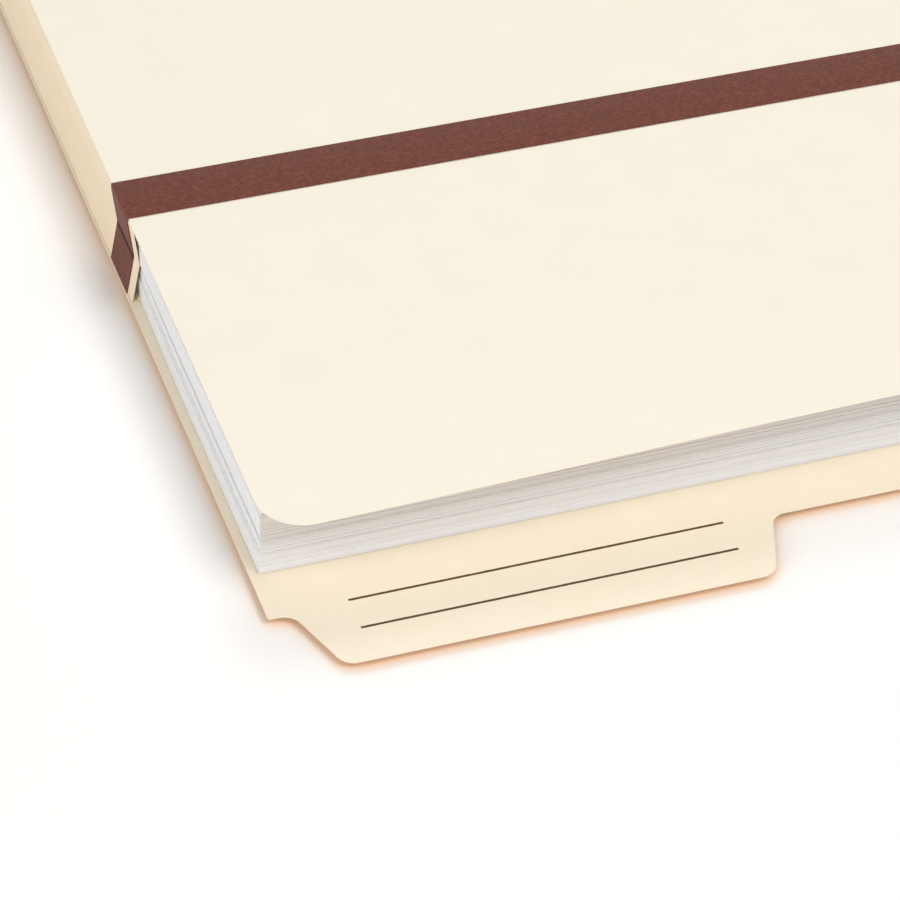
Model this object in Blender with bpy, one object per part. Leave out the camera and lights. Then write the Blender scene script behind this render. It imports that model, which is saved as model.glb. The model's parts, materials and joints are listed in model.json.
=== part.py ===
"""Expanding file pocket with a drop front, lying on its back panel and filled with letter paper.

Written in millimetres and built in metres. +X runs along the tab, -Y points out of the mouth towards the
tab, +Z is up. Heights in Y are counted from the shoulder line beside the tab until the model is centred.
"""

import math

import bpy

MM = 0.001

# Paper in the pocket, and the room it has there
PAPER_LENGTH = 279.4
PAPER_DEPTH = 215.9
SPARE_WIDTH = 19.1
MOUTH_SETBACK = 12.6
BOTTOM_ROOM = 1.0
PAPER_CLEARANCE = 0.2
BUNDLES = 4
BUNDLE_JOG = 0.3

# Card, cloth tape and the gaps between glued plies
PANEL_CARD = 0.4
GUSSET_CARD = 0.3
TAPE_CLOTH = 0.15
GLUE_GAP = 0.1
PANEL_CORNER = 1.2

# Tab on the back panel
TAB_HEIGHT = 15.9
TAB_OFFSET = 4.6
TAB_BASE = 95.6
TAB_SLOPE_RUN = 5.5
TAB_FILLET = 3.7

# Side gussets and bottom: one pleat each, of two halves between three creases
PLEAT_HALF = 8.6
PLEAT_ANGLE = 6.7
CREASE_INSET = 1.4
CREASE_CLEARANCE = 0.3
FOLD_GAP = 0.05
GLUE_FLANGE = 12.7
CORNER_GAP = 0.4

# Front panel, reinforcing tape and drop front
FRONT_INSET = 1.1
TAPE_START = 102.0
TAPE_WIDTH = 12.5
GUSSET_LIP = 3.1
FLAP_SETBACK = 2.8
FLAP_CORNER = 9.5
FLAP_HINGE_CORNER = 0.6
FLAP_HINGE_GAP = 0.15
FLAP_CREASE_LIFT = 0.05

ARC_STEPS = 8

MANILA_FRONT = (0.91, 0.86, 0.73)
MANILA_BACK = (0.91, 0.81, 0.63)
TAPE_BROWN = (0.16, 0.07, 0.05)
PAPER_WHITE = (0.84, 0.85, 0.86)

# Sizes that follow
PANEL_WIDTH = PAPER_LENGTH + SPARE_WIDTH
BODY_HEIGHT = MOUTH_SETBACK + PAPER_DEPTH + BOTTOM_ROOM
FRONT_WIDTH = PANEL_WIDTH - 2 * FRONT_INSET
ANGLE = math.radians(PLEAT_ANGLE)
TAPE_FACE = FOLD_GAP + GUSSET_CARD + GLUE_GAP + TAPE_CLOTH
CREASE_STEP = TAPE_FACE + FOLD_GAP
HALF_RISE = PLEAT_HALF * math.cos(ANGLE) + CREASE_STEP * math.sin(ANGLE)
PLEAT_REACH = PLEAT_HALF * math.sin(ANGLE)

# Levels, from the table up
BACK_TOP = PANEL_CARD
FLANGE_LEVEL = BACK_TOP + GLUE_GAP
LOWER_CREASE = FLANGE_LEVEL + GUSSET_CARD + FOLD_GAP
UPPER_CREASE = LOWER_CREASE + 2 * HALF_RISE
FRONT_FLANGE_LEVEL = UPPER_CREASE + FOLD_GAP
FRONT_LEVEL = FRONT_FLANGE_LEVEL + GUSSET_CARD + GLUE_GAP
TAPE_LEVEL = FRONT_LEVEL + PANEL_CARD + GLUE_GAP
FLAP_CREASE = TAPE_LEVEL + TAPE_CLOTH + FLAP_CREASE_LIFT

# Lines across the pocket, counted from the shoulder
TAPE_END = TAPE_START + TAPE_WIDTH
GUSSET_START = TAPE_START - GUSSET_LIP
GUSSET_END = BODY_HEIGHT - TAPE_FACE - CORNER_GAP
SIDE_CREASE = PANEL_WIDTH / 2 - CREASE_INSET
OUTERMOST = BODY_HEIGHT + PLEAT_REACH - FOLD_GAP * math.cos(ANGLE)
OUTERMOST -= CREASE_CLEARANCE * math.sin(ANGLE)
CENTRE = (OUTERMOST - TAB_HEIGHT) / 2


def collection(name, hidden=False):
    group = bpy.data.collections.new(name)
    bpy.context.scene.collection.children.link(group)
    group.hide_render = hidden
    return group


def material(name, colour, roughness):
    made = bpy.data.materials.new(name)
    made.use_nodes = True
    shader = made.node_tree.nodes["Principled BSDF"]
    shader.inputs["Base Color"].default_value = (*colour, 1)
    shader.inputs["Roughness"].default_value = roughness
    shader.inputs["Metallic"].default_value = 0
    return made


def place(thing, group, centre, parent=None):
    """Link an object into its collection at a centre in millimetres, in its parent's frame."""
    group.objects.link(thing)
    thing.parent = parent
    thing.location = [MM * value for value in centre]
    return thing


def pivot(name, centre, parent=None, turn=(0, 0, 0)):
    """An empty on a crease, turned to the angle at which its piece rests."""
    empty = bpy.data.objects.new(name, None)
    empty.empty_display_size = MM * GLUE_FLANGE
    empty.rotation_euler = turn
    return place(empty, POCKET, centre, parent)


def rounded(corners):
    """The points of an outline whose corners (x, y, radius) are drawn as arcs."""
    points = []
    for index, (x, y, radius) in enumerate(corners):
        before = corners[index - 1]
        after = corners[(index + 1) % len(corners)]
        inward = math.atan2(before[1] - y, before[0] - x)
        outward = math.atan2(after[1] - y, after[0] - x)
        opening = (outward - inward + math.pi) % math.tau - math.pi
        reach = radius / math.tan(abs(opening) / 2)
        middle = inward + opening / 2
        centre_distance = radius / math.sin(abs(opening) / 2)
        centre = (x + centre_distance * math.cos(middle), y + centre_distance * math.sin(middle))
        start = math.atan2(y + reach * math.sin(inward) - centre[1], x + reach * math.cos(inward) - centre[0])
        sweep = math.copysign(math.pi - abs(opening), -opening)
        for step in range(ARC_STEPS + 1):
            angle = start + sweep * step / ARC_STEPS
            points.append((centre[0] + radius * math.cos(angle), centre[1] + radius * math.sin(angle)))
    return points


def sheet(name, corners, thickness, centre, finish, parent=None):
    """A flat card with a rounded outline, extruded to its thickness about its centre level."""
    curve = bpy.data.curves.new(name, "CURVE")
    curve.dimensions = "2D"
    curve.fill_mode = "BOTH"
    curve.extrude = MM * thickness / 2
    points = rounded(corners)
    spline = curve.splines.new("POLY")
    spline.points.add(len(points) - 1)
    for point, (x, y) in zip(spline.points, points):
        point.co = (MM * x, MM * y, 0, 1)
    spline.use_cyclic_u = True
    curve.materials.append(finish)
    return place(bpy.data.objects.new(name, curve), POCKET, centre, parent)


def block(name, size, centre, finish=None, parent=None, group=None):
    """A rectangular ply or bundle from a cube."""
    bpy.ops.mesh.primitive_cube_add(size=1)
    cube = bpy.context.object
    cube.name = name
    cube.data.name = name
    for vertex in cube.data.vertices:
        vertex.co = [MM * side * value for side, value in zip(size, vertex.co)]
    for owner in list(cube.users_collection):
        owner.objects.unlink(cube)
    if finish:
        cube.data.materials.append(finish)
    return place(cube, group or POCKET, centre, parent)


def pleat(name, foot, heading, span, tape_middle=None):
    """Two halves on creases: the lower swings on foot, the upper on the lower, and the fold points along heading.

    Returns an unturned empty on the crease at its top, where the front joins it. tape_middle is where a tape band lies.
    """
    base = pivot(f"{name}_foot", foot, turn=(0, 0, heading))
    lower = pivot(f"{name}_lower_crease", (0, 0, 0), base, (0, ANGLE, 0))
    upper = pivot(f"{name}_middle_crease", (-CREASE_STEP, 0, PLEAT_HALF), lower, (0, -2 * ANGLE, 0))
    top = pivot(f"{name}_upper_crease", (CREASE_STEP, 0, PLEAT_HALF), upper, (0, ANGLE, 0))

    half_length = PLEAT_HALF - 2 * CREASE_CLEARANCE
    card_at = FOLD_GAP + GUSSET_CARD / 2
    tape_at = TAPE_FACE - TAPE_CLOTH / 2
    for half, crease, flip in (("lower", lower, 0), ("upper", upper, CREASE_STEP)):
        card_size = (GUSSET_CARD, span, half_length)
        block(f"{name}_{half}_half", card_size, (flip - card_at, 0, PLEAT_HALF / 2), GUSSET, crease)
        if tape_middle is not None:
            tape_size = (TAPE_CLOTH, TAPE_WIDTH, half_length)
            tape_place = (flip - tape_at, tape_middle, PLEAT_HALF / 2)
            block(f"{name}_{half}_tape", tape_size, tape_place, TAPE, crease)
    return pivot(f"{name}_top", (0, 0, 0), top, (0, 0, -heading))


def back_panel():
    """The back panel and its tab, cut from one card."""
    left = -PANEL_WIDTH / 2
    right = PANEL_WIDTH / 2
    bottom = BODY_HEIGHT - CREASE_CLEARANCE
    tab_left = left + TAB_OFFSET
    tab_right = tab_left + TAB_BASE
    corners = [
        (left, bottom, PANEL_CORNER),
        (left, 0, PANEL_CORNER / 2),
        (tab_left, 0, TAB_FILLET),
        (tab_left + TAB_SLOPE_RUN, -TAB_HEIGHT, TAB_FILLET),
        (tab_right - TAB_SLOPE_RUN, -TAB_HEIGHT, TAB_FILLET),
        (tab_right, 0, TAB_FILLET),
        (right, 0, PANEL_CORNER),
        (right, bottom, PANEL_CORNER),
    ]
    sheet("back_panel", corners, PANEL_CARD, (0, -CENTRE, PANEL_CARD / 2), BACK)


def flange(name, side, level, parent_at=(0, 0, 0), parent=None):
    """A gusset's glue flange, flat on a panel's inner face beside the crease."""
    size = (GLUE_FLANGE - CREASE_CLEARANCE, GUSSET_END - GUSSET_START, GUSSET_CARD)
    centre = (
        side * (SIDE_CREASE - (GLUE_FLANGE + CREASE_CLEARANCE) / 2) - parent_at[0],
        (GUSSET_START + GUSSET_END) / 2 - CENTRE - parent_at[1],
        level + GUSSET_CARD / 2 - parent_at[2],
    )
    block(name, size, centre, GUSSET, parent)


def front(top, top_at):
    """The front panel with its flanges and tape, all carried by the bottom's upper crease."""
    x, y, z = top_at
    half = FRONT_WIDTH / 2
    near = TAPE_START - CENTRE - y
    far = BODY_HEIGHT - CREASE_CLEARANCE - CENTRE - y
    corners = [
        (-half, far, PANEL_CORNER),
        (-half, near, PANEL_CORNER / 2),
        (half, near, PANEL_CORNER / 2),
        (half, far, PANEL_CORNER),
    ]
    sheet("front_panel", corners, PANEL_CARD, (-x, 0, FRONT_LEVEL + PANEL_CARD / 2 - z), FRONT, top)
    for side, name in ((-1, "left_front_flange"), (1, "right_front_flange")):
        flange(name, side, FRONT_FLANGE_LEVEL, top_at, top)
    tape_size = (FRONT_WIDTH, TAPE_WIDTH, TAPE_CLOTH)
    block("front_tape", tape_size, (-x, near + TAPE_WIDTH / 2, TAPE_LEVEL + TAPE_CLOTH / 2 - z), TAPE, top)


def drop_front(top, top_at):
    """The drop front, creased along the tape's near edge."""
    x, y, z = top_at
    crease = pivot("drop_front_crease", (-x, TAPE_START - CENTRE - y, FLAP_CREASE - z), top)
    half = FRONT_WIDTH / 2
    near = FLAP_SETBACK - TAPE_START
    corners = [
        (-half, -FLAP_HINGE_GAP, FLAP_HINGE_CORNER),
        (-half, near, FLAP_CORNER),
        (half, near, FLAP_CORNER),
        (half, -FLAP_HINGE_GAP, FLAP_HINGE_CORNER),
    ]
    level = FRONT_LEVEL + PANEL_CARD / 2 - FLAP_CREASE
    sheet("drop_front", corners, PANEL_CARD, (0, 0, level), FRONT, crease)


def relief(name, side, level):
    """A cutter over one glue flange, so that paper lies clear of it."""
    room = 2 * GLUE_GAP
    size = (2 * (GLUE_FLANGE + CREASE_INSET), 2 * (GUSSET_END - GUSSET_START), GUSSET_CARD + room)
    centre = (side * PANEL_WIDTH / 2, GUSSET_END - CENTRE, level + GUSSET_CARD / 2)
    cutter = block(name, (size[0], size[1] + room, size[2]), centre, group=CUTTERS)
    cutter.hide_render = True
    cutter.display_type = "WIRE"
    return cutter


def paper():
    """The stack in bundles, jogged to and fro, with the outer ones relieved where they lie on flanges."""
    slide = pivot("paper_slide", (0, MOUTH_SETBACK - CENTRE, BACK_TOP + GLUE_GAP))
    gusset_face = PLEAT_REACH - FOLD_GAP * math.cos(ANGLE)
    left = -SIDE_CREASE + gusset_face + PAPER_CLEARANCE
    room = FRONT_LEVEL - BACK_TOP - GLUE_GAP
    pitch = room / BUNDLES
    size = (PAPER_LENGTH, PAPER_DEPTH, pitch - GLUE_GAP)
    bundles = []
    for index in range(BUNDLES):
        jog = BUNDLE_JOG * (index % 2)
        centre = (left + jog + PAPER_LENGTH / 2, jog + PAPER_DEPTH / 2, pitch * index + size[2] / 2)
        bundles.append(block(f"paper_bundle_{index + 1}", size, centre, PAPER, slide))
    for bundle, level, layer in ((bundles[0], FLANGE_LEVEL, "back"), (bundles[-1], FRONT_FLANGE_LEVEL, "front")):
        for side, word in ((-1, "left"), (1, "right")):
            cut = bundle.modifiers.new(f"{word}_flange", "BOOLEAN")
            cut.operation = "DIFFERENCE"
            cut.solver = "EXACT"
            cut.object = relief(f"{word}_{layer}_relief", side, level)


for thing in list(bpy.data.objects):
    bpy.data.objects.remove(thing, do_unlink=True)

POCKET = collection("expanding_file_pocket")
CUTTERS = collection("cutters", hidden=True)
FRONT = material("manila_front", MANILA_FRONT, 0.75)
BACK = material("manila_back", MANILA_BACK, 0.75)
GUSSET = material("manila_gusset", MANILA_BACK, 0.8)
TAPE = material("brown_cloth_tape", TAPE_BROWN, 0.85)
PAPER = material("white_paper", PAPER_WHITE, 0.85)

back_panel()
for side, name in ((-1, "left_back_flange"), (1, "right_back_flange")):
    flange(name, side, FLANGE_LEVEL)

gusset_span = GUSSET_END - GUSSET_START
gusset_middle = (GUSSET_START + GUSSET_END) / 2
tape_shift = TAPE_START + TAPE_WIDTH / 2 - gusset_middle
left_foot = (-SIDE_CREASE, gusset_middle - CENTRE, LOWER_CREASE)
right_foot = (SIDE_CREASE, gusset_middle - CENTRE, LOWER_CREASE)
bottom_foot = (0, BODY_HEIGHT - CENTRE, LOWER_CREASE)

pleat("left_gusset", left_foot, 0, gusset_span, tape_shift)
pleat("right_gusset", right_foot, math.pi, gusset_span, -tape_shift)
bottom_top = pleat("bottom", bottom_foot, math.pi / 2, 2 * (SIDE_CREASE - CORNER_GAP))

bottom_top_at = (bottom_foot[0], bottom_foot[1], UPPER_CREASE)
front(bottom_top, bottom_top_at)
drop_front(bottom_top, bottom_top_at)
paper()
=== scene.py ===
"""Looks of an expanding file pocket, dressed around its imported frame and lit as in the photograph."""

import json
import math
import random

import bpy
from mathutils import Matrix, Vector


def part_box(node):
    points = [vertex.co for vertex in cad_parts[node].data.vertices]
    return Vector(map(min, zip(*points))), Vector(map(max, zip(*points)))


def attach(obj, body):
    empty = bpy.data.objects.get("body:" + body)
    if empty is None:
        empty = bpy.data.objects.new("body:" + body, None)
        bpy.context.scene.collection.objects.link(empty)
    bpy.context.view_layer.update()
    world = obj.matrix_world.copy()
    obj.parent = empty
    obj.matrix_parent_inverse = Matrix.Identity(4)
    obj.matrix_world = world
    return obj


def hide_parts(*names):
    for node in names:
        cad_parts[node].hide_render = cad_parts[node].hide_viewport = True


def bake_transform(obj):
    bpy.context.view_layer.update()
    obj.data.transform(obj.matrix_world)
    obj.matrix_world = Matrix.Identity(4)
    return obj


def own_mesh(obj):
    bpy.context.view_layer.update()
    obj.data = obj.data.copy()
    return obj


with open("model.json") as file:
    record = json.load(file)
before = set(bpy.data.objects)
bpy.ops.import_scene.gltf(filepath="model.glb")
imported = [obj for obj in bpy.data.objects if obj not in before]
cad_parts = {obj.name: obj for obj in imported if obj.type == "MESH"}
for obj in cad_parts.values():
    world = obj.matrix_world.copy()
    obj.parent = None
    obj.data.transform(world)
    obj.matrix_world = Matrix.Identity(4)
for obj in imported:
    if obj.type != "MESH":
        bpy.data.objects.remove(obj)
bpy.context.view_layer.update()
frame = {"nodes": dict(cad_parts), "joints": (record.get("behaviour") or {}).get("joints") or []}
MM = 0.001

# Back panel
# One sheet of buff manila card with a third-cut tab, die cut and lying on the table.
# Uncoated, so it is matt, with a faint cloud of fibre in it and a soft tooth that catches the light.
CLOUD_PER_M = 90
CLOUD_SPREAD = (0.3, 0.7)
FIBRE_PER_M = (700, 2600, 2600)
FIBRE_TURN = 0.35
FIBRE_SHARE = 0.4
FIBRE_ROUGHNESS = 0.08
FIBRE_RELIEF = 0.5
TOOTH_PER_M = 3200
TOOTH_DEPTH = 0.04
TOOTH_STRENGTH = 0.12


class Value:
    """A shader socket that takes part in plain arithmetic."""

    def __init__(self, finish, socket):
        self.finish = finish
        self.socket = socket

    def math(self, operation, other=0.0):
        return self.finish.node("Math", {"operation": operation}, {0: self, 1: other})

    def __add__(self, other):
        return self.math("ADD", other)

    def __mul__(self, other):
        return self.math("MULTIPLY", other)

    def __rsub__(self, other):
        return -1 * self + other

    def __abs__(self):
        return self.math("ABSOLUTE")

    __radd__ = __add__
    __rmul__ = __mul__


class Finish:
    """A material, or the light around, in the making on its one shader."""

    def __init__(self, name, store="materials", shader="Principled BSDF"):
        self.made = getattr(bpy.data, store).new(name)
        self.made.use_nodes = True
        self.tree = self.made.node_tree
        self.shader = self.tree.nodes[shader]

    def fill(self, node, sockets):
        for key, value in sockets.items():
            if isinstance(value, Value):
                self.tree.links.new(value.socket, node.inputs[key])
            else:
                node.inputs[key].default_value = value

    def node(self, kind, settings=None, sockets=None, output=0):
        """A node by its type, with its settings made first, then its sockets' values or links."""
        made = self.tree.nodes.new("ShaderNode" + kind)
        for key, value in (settings or {}).items():
            setattr(made, key, value)
        self.fill(made, sockets or {})
        return Value(self, made.outputs[output])

    def place(self, scale=(1, 1, 1), turn=(0, 0, 0)):
        """Object coordinates, in cycles per metre along each axis."""
        coordinates = self.node("TexCoord", output="Object")
        return self.node("Mapping", sockets={"Vector": coordinates, "Scale": scale, "Rotation": turn})

    def noise(self, scale, turn=(0, 0, 0), detail=2.0, roughness=0.5):
        """Noise with so many lumps per metre, along all axes or along each."""
        along_each = scale if isinstance(scale, tuple) else (scale, scale, scale)
        place = self.place(along_each, turn)
        sockets = {"Vector": place, "Scale": 1.0, "Detail": detail, "Roughness": roughness}
        return self.node("TexNoise", sockets=sockets)

    def stretch(self, value, low, high):
        """What lies between two limits, drawn out to run from nought to one."""
        return self.node("MapRange", sockets={0: value, 1: low, 2: high})

    def blend(self, amount, first, second):
        """A colour between two colours."""
        settings = {"data_type": "RGBA"}
        return self.node("Mix", settings, {"Factor": amount, 6: first, 7: second}, output=2)

    def bump(self, height, strength, depth):
        """A relief, with its depth in millimetres."""
        return self.node("Bump", sockets={"Height": height, "Strength": strength, "Distance": MM * depth})

    def surface(self, **sockets):
        self.fill(self.shader, {key.replace("_", " "): value for key, value in sockets.items()})
        return self.made


def srgb(red, green, blue):
    """A colour as read on a screen, 0 to 255, in linear light."""
    channels = [value / 255 for value in (red, green, blue)]
    linear = [v / 12.92 if v <= 0.04045 else ((v + 0.055) / 1.055) ** 2.4 for v in channels]
    return (*linear, 1)


def manila(name, pale, deep, roughness):
    """Uncoated manila card: long pulp fibres, a faint cloud and a fine tooth."""
    finish = Finish(name)
    cloud = finish.noise(CLOUD_PER_M, detail=3)
    fibre = finish.noise(FIBRE_PER_M, (0, 0, FIBRE_TURN), detail=3, roughness=0.6)
    shade = (1 - FIBRE_SHARE) * cloud + FIBRE_SHARE * fibre
    tooth = finish.noise(TOOTH_PER_M)
    return finish.surface(
        Base_Color=finish.blend(finish.stretch(shade, *CLOUD_SPREAD), deep, pale),
        Roughness=roughness + FIBRE_ROUGHNESS * fibre,
        Normal=finish.bump(tooth + FIBRE_RELIEF * fibre, TOOTH_STRENGTH, TOOTH_DEPTH),
        Specular_IOR_Level=0.25,
    )


def dress(material, *nodes):
    """Give CAD nodes that keep their shape a finish."""
    for name in nodes:
        slots = frame["nodes"][name].data.materials
        slots.clear()
        slots.append(material)


buff_card = manila("buff_manila", srgb(251, 240, 221), srgb(248, 236, 215), 0.7)
dress(buff_card, "back_panel")

# Printed rules
# Two fine rules on the tab for a written heading, printed in brown-black ink.
# The ink has soaked into the card a little, so its edge wanders and its cover is uneven.
RULE_LEFT = -133.6
RULE_RIGHT = -58.95
RULE_ACROSS = 0.56
RULE_FILM = 0.012
RULE_PARTS = 90
RULE_WANDER = 0.03
RULE_SEED = 11
RULE_LINES = (("tab_rule_upper", -106.75), ("tab_rule_lower", -114.6))
INK_PER_M = (2500, 6000, 1)


def pick_out(piece):
    """Make one object the only one selected."""
    bpy.ops.object.select_all(action="DESELECT")
    piece.select_set(True)
    bpy.context.view_layer.objects.active = piece


def settle(piece):
    """Put an object's place, turn and scale into its mesh."""
    pick_out(piece)
    bpy.ops.object.transform_apply(location=True, rotation=True, scale=True)
    return piece


def christen(piece, name):
    """Name an object and its mesh alike."""
    piece.name = name
    piece.data.name = name


def block(name, low, high):
    """A block between two corners, in millimetres, as the start of a piece."""
    bpy.ops.object.select_all(action="DESELECT")
    middle = [MM * (a + b) / 2 for a, b in zip(low, high)]
    bpy.ops.mesh.primitive_cube_add(size=1, location=middle)
    piece = bpy.context.object
    christen(piece, name)
    piece.scale = [MM * (b - a) for a, b in zip(low, high)]
    return settle(piece)


def slice_up(piece, axis, places):
    """Cut a piece across one axis at places in millimetres, so that it can bend there."""
    normal = [0, 0, 0]
    normal[axis] = 1
    pick_out(piece)
    bpy.ops.object.mode_set(mode="EDIT")
    for place in places:
        point = [0, 0, 0]
        point[axis] = MM * place
        bpy.ops.mesh.select_all(action="SELECT")
        bpy.ops.mesh.bisect(plane_co=point, plane_no=normal)
    bpy.ops.object.mode_set(mode="OBJECT")


def steps(low, high, count):
    """Places that divide a length into equal parts, without its ends."""
    return [low + (high - low) * index / count for index in range(1, count)]


ink = Finish("brown_black_ink")
rule_ink = ink.surface(
    Base_Color=ink.blend(ink.noise(INK_PER_M, detail=3), srgb(78, 60, 40), srgb(108, 88, 60)),
    Roughness=0.75,
    Specular_IOR_Level=0.2,
)
tab_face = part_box("back_panel")[1].z / MM
drift = random.Random(RULE_SEED)
for name, line in RULE_LINES:
    low = (RULE_LEFT, line - RULE_ACROSS / 2, tab_face)
    high = (RULE_RIGHT, line + RULE_ACROSS / 2, tab_face + RULE_FILM)
    rule = block(name, low, high)
    slice_up(rule, 0, steps(RULE_LEFT, RULE_RIGHT, RULE_PARTS))
    for vertex in rule.data.vertices:
        vertex.co.y += MM * drift.uniform(-RULE_WANDER, RULE_WANDER)
    rule.data.materials.append(rule_ink)
    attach(rule, "back")

# Gussets and bottom
# Thinner manila, scored and folded into pleats: the sides fold inward and the bottom outward.
# Each half is a flat plate. At its scores the card rounds over from plate to plate without a break.
PLEAT_LEAN = math.tan(math.radians(6.7))
PLEAT_HALF = 8.6
CARD = 0.3
ROUNDING_STEPS = 2
SMOOTH_BELOW = math.radians(35)

# Strips that round the middle folds
CARD_FROM_FOLD = 0.3
FOLD_REACH = 0.62
FOLD_SHORT = 0.02
FOLD_PARTS = 10

# Rolls along the other creases; the front's long one thins out at both ends
ROLL_RADIUS = 0.4
ROLL_SIDES = 20
ROLL_EDGE = 0.08
ROLL_END = 1.0
ROLL_THIN = 9.5
ROLL_TAPER = 0.2

# Far ends of the side gussets: how far back they reach, and where they lap the bottom's ends
CORNER_REACH = 121.83
CORNER_LAP = 0.4
CORNER_MARGIN = 0.05
LAP_FROM_TO = (0.6, 0.4)
UPPER_LAP_FROM_TO = (0.1, 0.15)

# Lower halves, set out from the foot crease, and upper halves, hung from the top one
LEAF_FOOT = -0.35
LEAF_HEIGHT = 8.565
LEAF_TOP = 8.4
LEAF_OUT = -0.86
LEAF_IN = 0.8
LEAF_CUTS = (0.0, 0.3, 0.6, 0.9, 1.2, 1.5, 1.8, 2.1, 2.6, 3.2, 3.5, 4.3, 5.2, 6.5)
LEAF_BEND_FROM = 0.1
LEAF_BEND_TO = 2.0
UPPER_OUT = 0.2
UPPER_PARTS = 10
CREASE_ROOM = 0.3

gusset_card = manila("gusset_manila", srgb(250, 235, 210), srgb(247, 229, 202), 0.72)
dress(
    gusset_card,
    "left_back_flange",
    "right_back_flange",
    "left_front_flange",
    "right_front_flange",
    "bottom_lower_half",
    "bottom_upper_half",
)

hinges = {joint["name"]: Vector(joint["pos_m"]) / MM for joint in frame["joints"] if "pos_m" in joint}
fold_level = hinges["left_gusset_fold"].z
gusset_low, gusset_high = (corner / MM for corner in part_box("left_gusset_lower_half"))
gusset_span = gusset_high.y - gusset_low.y
bottom_low, bottom_high = (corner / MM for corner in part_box("bottom_lower_half"))
bottom_span = bottom_high.x - bottom_low.x


def ramp(value, start, end):
    """How far a value has come from a start to an end, from nought to one."""
    return min(max((value - start) / (end - start), 0), 1)


def soften(piece, width):
    """Round a piece's sharp edges by a width in millimetres."""
    pick_out(piece)
    rounding = piece.modifiers.new("rounded_edges", "BEVEL")
    rounding.width = MM * width
    rounding.segments = ROUNDING_STEPS
    rounding.limit_method = "ANGLE"
    bpy.ops.object.modifier_apply(modifier=rounding.name)
    bpy.ops.object.shade_smooth_by_angle(angle=SMOOTH_BELOW)


def stand(piece, place, heading):
    """Turn a piece made at the origin to its heading, and put it in its place in millimetres."""
    piece.rotation_euler = (0, 0, heading)
    piece.location = MM * place
    settle(piece)


def reach_corner(piece, short=0.0):
    """Draw a side gusset's far end out to the bottom, and past it where the gusset stands outside."""
    for vertex in piece.data.vertices:
        if vertex.co.y > MM * (gusset_high.y - CORNER_MARGIN):
            above = vertex.co.z / MM - fold_level
            share = max(1 - abs(above) / PLEAT_HALF, 0)
            lap = ramp(share, *LAP_FROM_TO)
            if above > 0:
                lap *= ramp(share, *UPPER_LAP_FROM_TO)
            vertex.co.y = MM * (CORNER_REACH + PLEAT_HALF * PLEAT_LEAN * share + CORNER_LAP * lap - short)


def fold_strip(name, pleat, fold, heading, span, near, thickness, finish):
    """Material that rounds a pleat's middle fold, from near the fold's axis inward."""
    half = span / 2 - FOLD_SHORT
    strip = block(name, (near, -half, -FOLD_REACH), (near + thickness, half, FOLD_REACH))
    slice_up(strip, 2, steps(-FOLD_REACH, FOLD_REACH, FOLD_PARTS))
    for vertex in strip.data.vertices:
        vertex.co.x -= abs(vertex.co.z) * PLEAT_LEAN
    stand(strip, fold, heading)
    if pleat != "bottom":
        reach_corner(strip, FOLD_SHORT)
    strip.data.materials.append(finish)
    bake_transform(strip)


def lower_leaf(name, crease, heading, span, off, thickness, top, finish):
    """A side gusset's lower half, which stands on the panel's very edge and leans in to the fold."""
    half = span / 2
    piece = block(name, (-thickness / 2, -half, LEAF_FOOT), (thickness / 2, half, top))
    slice_up(piece, 2, LEAF_CUTS)
    for vertex in piece.data.vertices:
        share = (vertex.co.z / MM - LEAF_FOOT) / (LEAF_HEIGHT - LEAF_FOOT)
        vertex.co.x += MM * (off + LEAF_OUT + (LEAF_IN - LEAF_OUT) * share)
    stand(piece, crease, heading)
    reach_corner(piece)
    piece.data.materials.append(finish)
    start = MM * (crease + Vector((0, 0, LEAF_BEND_FROM)))
    end = MM * (crease + Vector((0, 0, LEAF_BEND_TO)))
    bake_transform(piece)
    return piece


def upper_leaf(name, pleat, top, heading, span):
    """A side gusset's upper half, hanging from the front's edge and leaning in to the fold."""
    half = span / 2
    low = CREASE_ROOM - PLEAT_HALF
    piece = block(name, (-CARD / 2, -half, low), (CARD / 2, half, -CREASE_ROOM))
    slice_up(piece, 2, steps(low, -CREASE_ROOM, UPPER_PARTS))
    for vertex in piece.data.vertices:
        vertex.co.x -= MM * UPPER_OUT + vertex.co.z * PLEAT_LEAN
    stand(piece, top, heading)
    reach_corner(piece)
    piece.data.materials.append(gusset_card)
    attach(piece, f"{pleat}_upper")
    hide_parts(f"{pleat}_upper_half")


def crease_roll(name, pleat, crease, heading, span, body):
    """The rounded back of a score, where a half meets the flange or the panel."""
    bpy.ops.object.select_all(action="DESELECT")
    bpy.ops.mesh.primitive_cylinder_add(vertices=ROLL_SIDES, radius=MM * ROLL_RADIUS, depth=MM * span)
    roll = bpy.context.object
    christen(roll, name)
    roll.rotation_euler = (math.pi / 2, 0, heading)
    roll.location = MM * crease
    settle(roll)
    if pleat != "bottom":
        for vertex in roll.data.vertices:
            if vertex.co.y > MM * (gusset_high.y - ROLL_END):
                vertex.co.y = MM * hinges["front_crease"].y
    thins_out = pleat == "bottom" and body == "front"
    if thins_out:
        slice_up(roll, 0, [-span / 2 + ROLL_THIN, span / 2 - ROLL_THIN])
    soften(roll, ROLL_EDGE)
    if thins_out:
        for vertex in roll.data.vertices:
            if abs(vertex.co.x) > MM * (span / 2 - ROLL_END):
                vertex.co.y = MM * crease.y + (vertex.co.y - MM * crease.y) * ROLL_TAPER
                vertex.co.z = MM * crease.z + (vertex.co.z - MM * crease.z) * ROLL_TAPER
    roll.data.materials.append(gusset_card)
    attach(roll, body)


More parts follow.
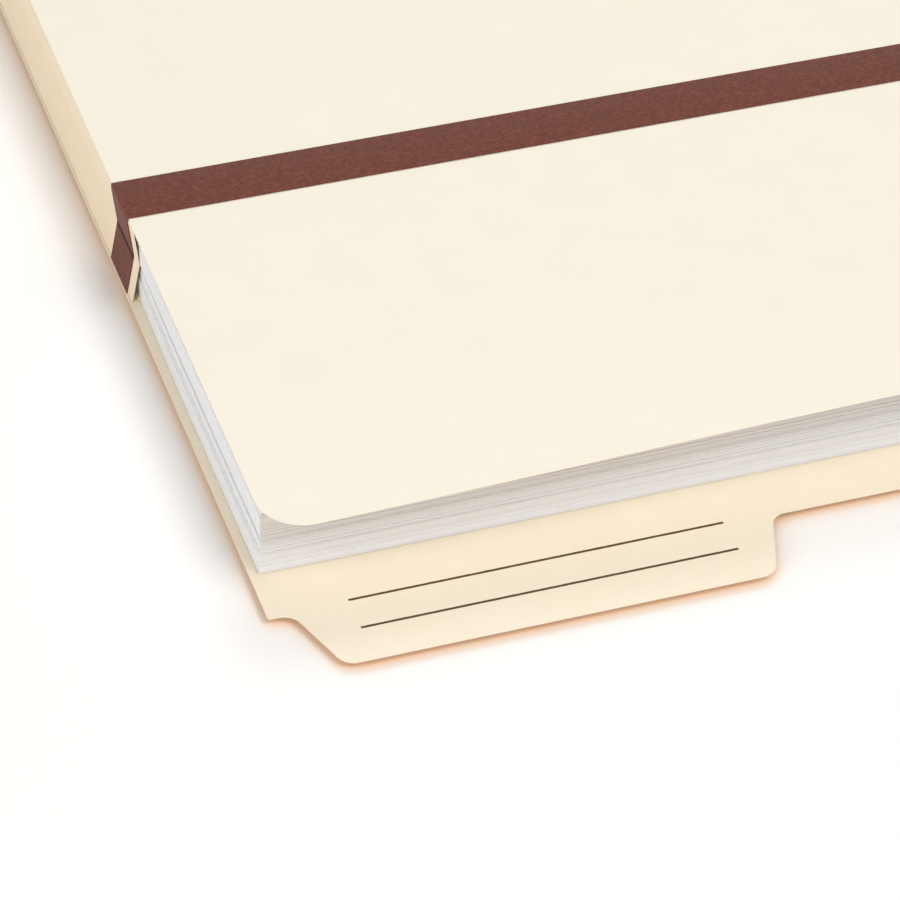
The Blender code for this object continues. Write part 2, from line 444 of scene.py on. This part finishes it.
sides = (("left_gusset", 0), ("right_gusset", math.pi))
pleats = [(pleat, f"{pleat}_crease", heading, gusset_span) for pleat, heading in sides]
pleats.append(("bottom", "expand", math.pi / 2, bottom_span))
for pleat, crease, heading, span in pleats:
    fold = hinges[f"{pleat}_fold"]
    foot = hinges[crease]
    top = Vector((foot.x, foot.y, hinges["front_crease"].z))
    fold_strip(
        f"{pleat}_fold", pleat, fold, heading, span,
        near=CARD_FROM_FOLD, thickness=CARD, finish=gusset_card,
    )
    if pleat == "bottom":
        crease_roll(f"{pleat}_foot_crease", pleat, foot, heading, span, "back")
    else:
        half = lower_leaf(
            f"{pleat}_lower_card", foot, heading, span,
            off=0, thickness=CARD, top=LEAF_TOP, finish=gusset_card,
        )
        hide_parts(f"{pleat}_lower_half")
        upper_leaf(f"{pleat}_upper_card", pleat, top, heading, span)
    crease_roll(f"{pleat}_top_crease", pleat, top, heading, span, "front")

# Front panel and cloth tape
# The front is a sheet of cream manila. A half-inch band of red-brown binding cloth is glued across its
# head, turned over both side edges and down on the gussets, where it strengthens the mouth's corners.
TURN_RADIUS = 0.3
TURN_STEPS = 6
SKIRT_FOOT = 17.82
BAND_EDGE = 0.03
SQUARE_ON = 0.9

# Cloth on the gussets' lower halves and round their folds
CLOTH = 0.15
CLOTH_OFF = -0.325
CLOTH_TOP = 8.08
FOLDED_CLOTH = 0.12
CLOTH_FROM_FOLD = 0.03

# The weave: threads that wander, with slubs along them and red flecks
THREAD = 0.46
THREAD_WANDER = 1.6
WANDER_PER_M = 900
SLUB_PER_M = 1000
SLUB_ACROSS_PER_M = 2200
SLUB_SPREAD = (0.38, 0.66)
SLUB_RELIEF = 0.5
FLECK_PER_M = 800
FLECK_SPREAD = (0.5, 0.72)
FLECK_SHARE = 0.55
RIDGE_SHARE = 0.35
RIDGE_POLISH = 0.1
WEAVE_DEPTH = 0.08
WEAVE_STRENGTH = 0.35

cream_card = manila("cream_manila", srgb(248, 243, 229), srgb(246, 240, 224), 0.66)
dress(cream_card, "front_panel")


def binding_cloth(name, along, across, shade=1.0, sheen=0.08):
    """Plain-woven cloth: warp and weft ridges, slubs along the threads, red and dark flecks. A shade below
    one darkens it all as painted shade.
    """
    finish = Finish(name)
    wander = finish.noise(WANDER_PER_M)

    def threads(axis):
        place = finish.node("SeparateXYZ", sockets={0: finish.place()}, output=axis)
        phase = place * (math.pi / (MM * THREAD)) + THREAD_WANDER * wander
        return abs(phase.math("SINE"))

    def dyed_and_shaded(red, green, blue):
        return [value * shade for value in srgb(red, green, blue)[:3]] + [1]

    ridge = 0.5 * threads(along) + 0.5 * threads(across)
    slub_scale = [SLUB_ACROSS_PER_M] * 3
    slub_scale[along] = SLUB_PER_M
    slub = finish.noise(tuple(slub_scale), detail=3, roughness=0.6)
    fleck = finish.noise(FLECK_PER_M, detail=3, roughness=0.7)
    worn = RIDGE_SHARE * ridge + (1 - RIDGE_SHARE) * finish.stretch(slub, *SLUB_SPREAD)
    ground = finish.blend(worn, dyed_and_shaded(90, 52, 42), dyed_and_shaded(122, 72, 58))
    flecked = FLECK_SHARE * finish.stretch(fleck, *FLECK_SPREAD)
    return finish.surface(
        Base_Color=finish.blend(flecked, ground, dyed_and_shaded(146, 79, 67)),
        Roughness=0.82 - RIDGE_POLISH * ridge,
        Normal=finish.bump(ridge + SLUB_RELIEF * slub, WEAVE_STRENGTH, WEAVE_DEPTH),
        Specular_IOR_Level=0.15,
        Sheen_Weight=sheen,
        Sheen_Roughness=0.5,
    )


front_cloth = binding_cloth("binding_cloth_front", 0, 1)
side_cloth = binding_cloth("binding_cloth_side", 2, 1)
# The cloth round the middle folds is painted near black: painted shade in the creases.
crease_shade_cloth = binding_cloth("binding_cloth_painted_crease_shade", 2, 1, shade=0.22, sheen=0.0)
dress(side_cloth, "left_gusset_upper_tape", "right_gusset_upper_tape")

tape_low, tape_high = (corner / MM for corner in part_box("front_tape"))
band = block("front_band", tape_low, tape_high)
for side in (-1, 1):
    edge = MM * Vector((side * tape_high.x, 0, tape_high.z - TURN_RADIUS))
    pick_out(band)
    bpy.ops.object.mode_set(mode="EDIT")
    bpy.ops.mesh.select_mode(type="FACE")
    bpy.ops.mesh.select_all(action="DESELECT")
    bpy.ops.object.mode_set(mode="OBJECT")
    for face in band.data.polygons:
        face.select = face.normal.x * side > SQUARE_ON and face.center.x * side > 0
    bpy.ops.object.mode_set(mode="EDIT")
    bpy.ops.mesh.spin(steps=TURN_STEPS, angle=-side * math.pi / 2, center=edge, axis=(0, 1, 0))
    drop = Vector((0, 0, MM * SKIRT_FOOT - edge.z))
    bpy.ops.mesh.extrude_region_move(TRANSFORM_OT_translate={"value": drop})
    bpy.ops.mesh.select_all(action="SELECT")
    bpy.ops.mesh.normals_make_consistent(inside=False)
    bpy.ops.object.mode_set(mode="OBJECT")
soften(band, BAND_EDGE)
band.data.materials.append(front_cloth)
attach(band, "front")
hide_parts("front_tape")

tape_span = tape_high.y - tape_low.y
tape_middle = (tape_high.y + tape_low.y) / 2
for pleat, heading in sides:
    fold = hinges[f"{pleat}_fold"].copy()
    crease = hinges[f"{pleat}_crease"].copy()
    fold.y = tape_middle
    crease.y = tape_middle
    fold_strip(
        f"{pleat}_tape_fold", pleat, fold, heading, tape_span,
        near=CLOTH_FROM_FOLD, thickness=FOLDED_CLOTH, finish=crease_shade_cloth,
    )
    half = lower_leaf(
        f"{pleat}_lower_cloth", crease, heading, tape_span,
        off=CLOTH_OFF, thickness=CLOTH, top=CLOTH_TOP, finish=side_cloth,
    )
    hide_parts(f"{pleat}_lower_tape")

# Drop front
# The head of the front card, folded over along the tape so that it can drop. It lies on the paper,
# which is plump in the middle, so its free edge lifts there. The two free corners are rounded.
FLAP_CARD = 0.4
FLAP_CORNER = 9.5
FLAP_CORNER_STEPS = 12
FLAP_HINGE_CORNER = 1.0
FLAP_HINGE_STEPS = 5
FLAP_PARTS_X = 40
FLAP_PARTS_Y = 16
EDGE_MARGIN = 1.0

# The swell of the stack: up from its left side and from its right, and from the tape to the mouth
FLAP_LIFT = 3.2
SWELL_FROM_LEFT = (-147, 3)
SWELL_FROM_RIGHT = (147, 27)
SWELL_FORWARD = (-6, -102)
LEFT_POWER = 1.5
FORWARD_POWER = 1.4


def plump(x, y):
    """How far the top of the stack stands above its corners, in millimetres, at a place in millimetres."""
    left = math.sin(ramp(x, *SWELL_FROM_LEFT) * math.pi / 2) ** LEFT_POWER
    right = math.sin(ramp(x, *SWELL_FROM_RIGHT) * math.pi / 2)
    forward = ramp(y, *SWELL_FORWARD) ** FORWARD_POWER
    return FLAP_LIFT * left * right * forward


def flat_sheet(name, low, high):
    """A sheet with no thickness, half-way up a box in millimetres, as the start of a piece."""
    bpy.ops.object.select_all(action="DESELECT")
    bpy.ops.mesh.primitive_plane_add(size=1, location=MM * (low + high) / 2)
    piece = bpy.context.object
    christen(piece, name)
    piece.scale = (MM * (high.x - low.x), MM * (high.y - low.y), 1)
    return settle(piece)


def round_corners(piece, y, radius, segments):
    """Round a flat sheet's corners at one of its edges, given by its Y in millimetres."""
    pick_out(piece)
    bpy.ops.object.mode_set(mode="EDIT")
    bpy.ops.mesh.select_mode(type="VERT")
    bpy.ops.mesh.select_all(action="DESELECT")
    bpy.ops.object.mode_set(mode="OBJECT")
    for vertex in piece.data.vertices:
        vertex.select = abs(vertex.co.y - MM * y) < MM * EDGE_MARGIN
    bpy.ops.object.mode_set(mode="EDIT")
    bpy.ops.mesh.bevel(offset=MM * radius, segments=segments, affect="VERTICES")
    bpy.ops.object.mode_set(mode="OBJECT")


def thicken(piece, gauge):
    """Give a flat sheet its thickness in millimetres, half to each side."""
    pick_out(piece)
    thickness = piece.modifiers.new("gauge", "SOLIDIFY")
    thickness.thickness = MM * gauge
    thickness.offset = 0
    bpy.ops.object.modifier_apply(modifier=thickness.name)


flap_low, flap_high = (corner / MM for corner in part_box("drop_front"))
flap = flat_sheet("drop_front_card", flap_low, flap_high)
round_corners(flap, flap_low.y, FLAP_CORNER, FLAP_CORNER_STEPS)
round_corners(flap, flap_high.y, FLAP_HINGE_CORNER, FLAP_HINGE_STEPS)
slice_up(flap, 0, steps(flap_low.x, flap_high.x, FLAP_PARTS_X))
slice_up(flap, 1, steps(flap_low.y, flap_high.y, FLAP_PARTS_Y))
for vertex in flap.data.vertices:
    vertex.co.z += MM * plump(vertex.co.x / MM, vertex.co.y / MM)
thicken(flap, FLAP_CARD)
bpy.ops.object.shade_smooth_by_angle(angle=SMOOTH_BELOW)
flap.data.materials.append(cream_card)
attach(flap, "drop_front_flap")
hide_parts("drop_front")

# Paper
# A full stack of plain letter sheets in four loose bundles, knocked together by hand, so their edges step.
# The sheets lie slack towards the mouth, and more so the higher they lie.
SHEET_PITCH = 0.104
SHEET_GAUGE = 0.1
SHEET_CUTS_X = (-137.5, -134, -120, -100, -75, -45, -15, 30, 80, 115)
SHEET_CUTS_Y = (-80, -60, -35, -10, -6.5)
BUNDLE_GAP = 0.08
GRAIN_PER_M = 1500
GRAIN_ROUGHNESS = 0.1
GRAIN_DEPTH = 0.03
GRAIN_STRENGTH = 0.1

# Front edges: painted shade, warmer and darker towards the top of the stack under the drop front, with a
# painted shade line where a clump of sheets begins
EDGE_TONES = (0.9, 1.0)
EDGE_PAINTED_SHADE = 0.16
PAINTED_SHADE_LEVELS = (6, 10)
PAINTED_LINE_SHADE = 0.35
SHADE_LINES_ABOVE = 2

# How the sheets step: in clumps, singly, and in lays, each with its top level and its shifts in X and Y
LAY_SEED = 5
CLUMP_SHEETS = (4, 8)
CLUMP_STEP = 0.16
SHEET_STEP_X = 0.01
SHEET_STEP_Y = 0.06
LAYS = (
    (3.0, -0.7, -0.45),
    (3.1, -0.4, -0.35),
    (5.6, -0.75, -0.25),
    (5.75, -0.3, 0.0),
    (7.8, -0.6, -0.1),
    (8.0, 0.0, 0.15),
    (math.inf, -0.3, 0.1),
)
SLACK_FORWARD = (4, -26)
SLACK_LEAST = 0.1
SWELL_POWER = 1.3

# Room for the glue flanges at the sides
FLANGE_INNER = 134.8
FLANGE_HEAD = -8.6
FLANGE_ROOM = 0.34

white = Finish("office_paper")
tone_and_painted_shade = white.node("Attribute", {"attribute_name": "tone_and_painted_shade"}, output=2)
grain = white.noise(GRAIN_PER_M)
# The dark warm stop is the painted shade of the sheets' front edges; the other faces stay white.
sheet_white = white.surface(
    Base_Color=white.blend(tone_and_painted_shade, srgb(215, 180, 145), srgb(244, 245, 247)),
    Roughness=0.8 + GRAIN_ROUGHNESS * grain,
    Normal=white.bump(grain, GRAIN_STRENGTH, GRAIN_DEPTH),
    Specular_IOR_Level=0.2,
)

lay = random.Random(LAY_SEED)
stack_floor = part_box("paper_bundle_1")[0].z / MM
stack_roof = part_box("paper_bundle_4")[1].z / MM


def lay_sheet(pattern, pattern_level, level, edge_tone_and_shade, clump):
    """A copy of a flat sheet, laid in the stack at a level in millimetres."""
    sheet = pattern.copy()
    sheet.data = pattern.data.copy()
    bpy.context.scene.collection.objects.link(sheet)
    tones = sheet.data.attributes.new("tone_and_painted_shade", "FLOAT", "FACE")
    fronts = [abs(face.normal.y) > SQUARE_ON for face in sheet.data.polygons]
    tones.data.foreach_set("value", [edge_tone_and_shade if front else 1.0 for front in fronts])
    share = (level - stack_floor) / (stack_roof - stack_floor)
    move_x = lay.uniform(-SHEET_STEP_X, SHEET_STEP_X)
    move_y = clump + lay.uniform(-SHEET_STEP_Y, SHEET_STEP_Y)
    shift_x, shift_y = next((x, y) for top, x, y in LAYS if level <= top)
    for vertex in sheet.data.vertices:
        x, y, z = vertex.co / MM
        slack = max(ramp(y, *SLACK_FORWARD), SLACK_LEAST)
        height = level + z - pattern_level + plump(x, y) * share**SWELL_POWER
        if abs(x) > FLANGE_INNER and y > FLANGE_HEAD:
            height += FLANGE_ROOM * (1 - 2 * share)
        vertex.co = MM * Vector((x + move_x + shift_x * slack, y + move_y + shift_y * slack, height))
    return sheet


for number in range(1, 5):
    node = f"paper_bundle_{number}"
    low, high = (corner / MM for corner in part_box(node))
    pattern = flat_sheet("sheet_pattern", low, high)
    slice_up(pattern, 0, SHEET_CUTS_X)
    slice_up(pattern, 1, SHEET_CUTS_Y)
    thicken(pattern, SHEET_GAUGE)
    roof = min(high.z + BUNDLE_GAP, stack_roof)
    count = int((roof - low.z) / SHEET_PITCH)
    sheets = []
    left_in_clump = 0
    for index in range(count):
        level = low.z + (roof - low.z) * (index + 0.5) / count
        begins_clump = left_in_clump == 0
        if begins_clump:
            left_in_clump = lay.randint(*CLUMP_SHEETS)
            clump = lay.uniform(-CLUMP_STEP, CLUMP_STEP)
        left_in_clump -= 1
        # Front edges are painted warmer and darker higher in the stack: painted shade under the drop
        # front.
        edge_tone_and_shade = lay.uniform(*EDGE_TONES) - EDGE_PAINTED_SHADE * ramp(level, *PAINTED_SHADE_LEVELS)
        # Where a clump begins, its front edge gets a painted shade line.
        if begins_clump and level > SHADE_LINES_ABOVE:
            edge_tone_and_shade -= PAINTED_LINE_SHADE
        sheets.append(lay_sheet(pattern, (low.z + high.z) / 2, level, edge_tone_and_shade, clump))
    bpy.data.objects.remove(pattern, do_unlink=True)
    bpy.ops.object.select_all(action="DESELECT")
    for sheet in sheets:
        sheet.select_set(True)
    bpy.context.view_layer.objects.active = sheets[0]
    bpy.ops.object.join()
    bundle = bpy.context.object
    christen(bundle, f"loose_sheets_{number}")
    bundle.data.materials.append(sheet_white)
    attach(bundle, "papers")
    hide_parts(node)
    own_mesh(bundle)

# Table, light and camera
# A white table that keeps the shadow, in even white light with four broad soft lamps: high at the front
# right, high behind, low at the left and high at the left. The camera is a long lens fitted to the photo.
TABLE_LEVEL = -1.6
TABLE_SIDE = 4000
TABLE_WHITE = (0.94, 0.92, 0.9, 1)
TABLE_PAINTED_SHADE = (0.82, 0.54, 0.31, 1)
TABLE_GLOW = (0.07, 0.085, 0.1, 1)
GAP_PAINTED_LIGHT = (0.27, 0.18, 0.12, 1)
NO_GLOW = (0, 0, 0, 1)
SHADE_REACH = 7
SHADE_SPREAD = (0.3, 0.95)
SHADE_SAMPLES = 8
GAP_REACH = 2.5

# The light around, and each lamp's direction, side, power and colour
SKY_WHITE = (1.0, 0.99, 0.98, 1)
SKY_STRENGTH = 0.38
LAMP_DISTANCE = 2000
LAMPS = (
    ("key", (0.3, -0.49, 0.82), 900, 16.9, (1.0, 0.99, 0.975)),
    ("back_light", (0.3, 0.55, 0.78), 700, 7.5, (1.0, 0.98, 0.955)),
    ("left_fill", (-0.8, -0.53, 0.27), 900, 10.6, (0.97, 1.0, 1.02)),
    ("left_top", (-0.5, -0.3, 0.81), 700, 5.0, (1.0, 0.89, 0.76)),
)

CAMERA_TARGET = (-101.912, -71.216, 0.4)
CAMERA_AZIMUTH = math.radians(-19.333)
CAMERA_ELEVATION = math.radians(40.048)
CAMERA_ROLL = math.radians(1.5)
CAMERA_DISTANCE = 782.48
CAMERA_LENS = 161.476
CAMERA_SENSOR = 36
CAMERA_NEAR = 10
CAMERA_FAR = 20000


def in_view(finish):
    """One where a surface is seen, straight or in gloss or glass, and nought where it only gives light."""
    rays = ("Is Camera Ray", "Is Glossy Ray", "Is Transmission Ray")
    straight, glossy, through = (finish.node("LightPath", output=ray) for ray in rays)
    return (straight + glossy).math("MAXIMUM", through)


def openness(finish, reach):
    """How open a surface is to the sky, within a reach in millimetres."""
    settings = {"samples": SHADE_SAMPLES}
    return finish.node("AmbientOcclusion", settings, {"Distance": MM * reach}, output="AO")


bpy.ops.object.select_all(action="DESELECT")
bpy.ops.mesh.primitive_plane_add(size=MM * TABLE_SIDE, location=(0, 0, MM * TABLE_LEVEL))
table = bpy.context.object
table.name = "table"
settle(table)
white_table = Finish("white_table")
# Near the pocket the table's colour is painted darker and orange, by how hemmed in it is: painted contact
# shade.
clear = white_table.stretch(openness(white_table, SHADE_REACH), *SHADE_SPREAD)
# Close under the card's edges the table glows warm, seen only by the camera: painted light for light
# through the card.
painted_light_and_floor_glow = white_table.blend(openness(white_table, GAP_REACH), GAP_PAINTED_LIGHT, TABLE_GLOW)
table.data.materials.append(
    white_table.surface(
        Base_Color=white_table.blend(clear, TABLE_PAINTED_SHADE, TABLE_WHITE),
        Roughness=0.9,
        Specular_IOR_Level=0.0,
        Emission_Color=white_table.blend(in_view(white_table), NO_GLOW, painted_light_and_floor_glow),
        Emission_Strength=1.0,
    )
)

sky = Finish("even_light", "worlds", "Background")
bpy.context.scene.world = sky.surface(
    Color=SKY_WHITE, Strength=SKY_STRENGTH + (1 - SKY_STRENGTH) * in_view(sky)
)

aim = Vector(CAMERA_TARGET)
for name, direction, side, power, colour in LAMPS:
    lamp_data = bpy.data.lights.new(name, "AREA")
    lamp_data.shape = "SQUARE"
    lamp_data.size = MM * side
    lamp_data.energy = power
    lamp_data.color = colour
    lamp = bpy.data.objects.new(name, lamp_data)
    bpy.context.scene.collection.objects.link(lamp)
    away = Vector(direction).normalized()
    lamp.location = MM * (aim + LAMP_DISTANCE * away)
    lamp.rotation_euler = away.to_track_quat("Z", "Y").to_euler()

level_side = Vector((math.cos(CAMERA_AZIMUTH), math.sin(CAMERA_AZIMUTH), 0))
backward = Vector(
    (
        math.sin(CAMERA_AZIMUTH) * math.cos(CAMERA_ELEVATION),
        -math.cos(CAMERA_AZIMUTH) * math.cos(CAMERA_ELEVATION),
        math.sin(CAMERA_ELEVATION),
    )
)
level_up = backward.cross(level_side)
side_way = math.cos(CAMERA_ROLL) * level_side + math.sin(CAMERA_ROLL) * level_up
up_way = math.cos(CAMERA_ROLL) * level_up - math.sin(CAMERA_ROLL) * level_side
camera_turn = Matrix((side_way, up_way, backward)).transposed().to_4x4()
camera_data = bpy.data.cameras.new("camera")
camera_data.lens = CAMERA_LENS
camera_data.sensor_width = CAMERA_SENSOR
camera_data.clip_start = MM * CAMERA_NEAR
camera_data.clip_end = MM * CAMERA_FAR
camera = bpy.data.objects.new("camera", camera_data)
bpy.context.scene.collection.objects.link(camera)
camera.matrix_world = Matrix.Translation(MM * (aim + CAMERA_DISTANCE * backward)) @ camera_turn
bpy.context.scene.camera = camera
bpy.context.scene.view_settings.view_transform = "Standard"

# The scene brought up to date
bpy.context.view_layer.update()
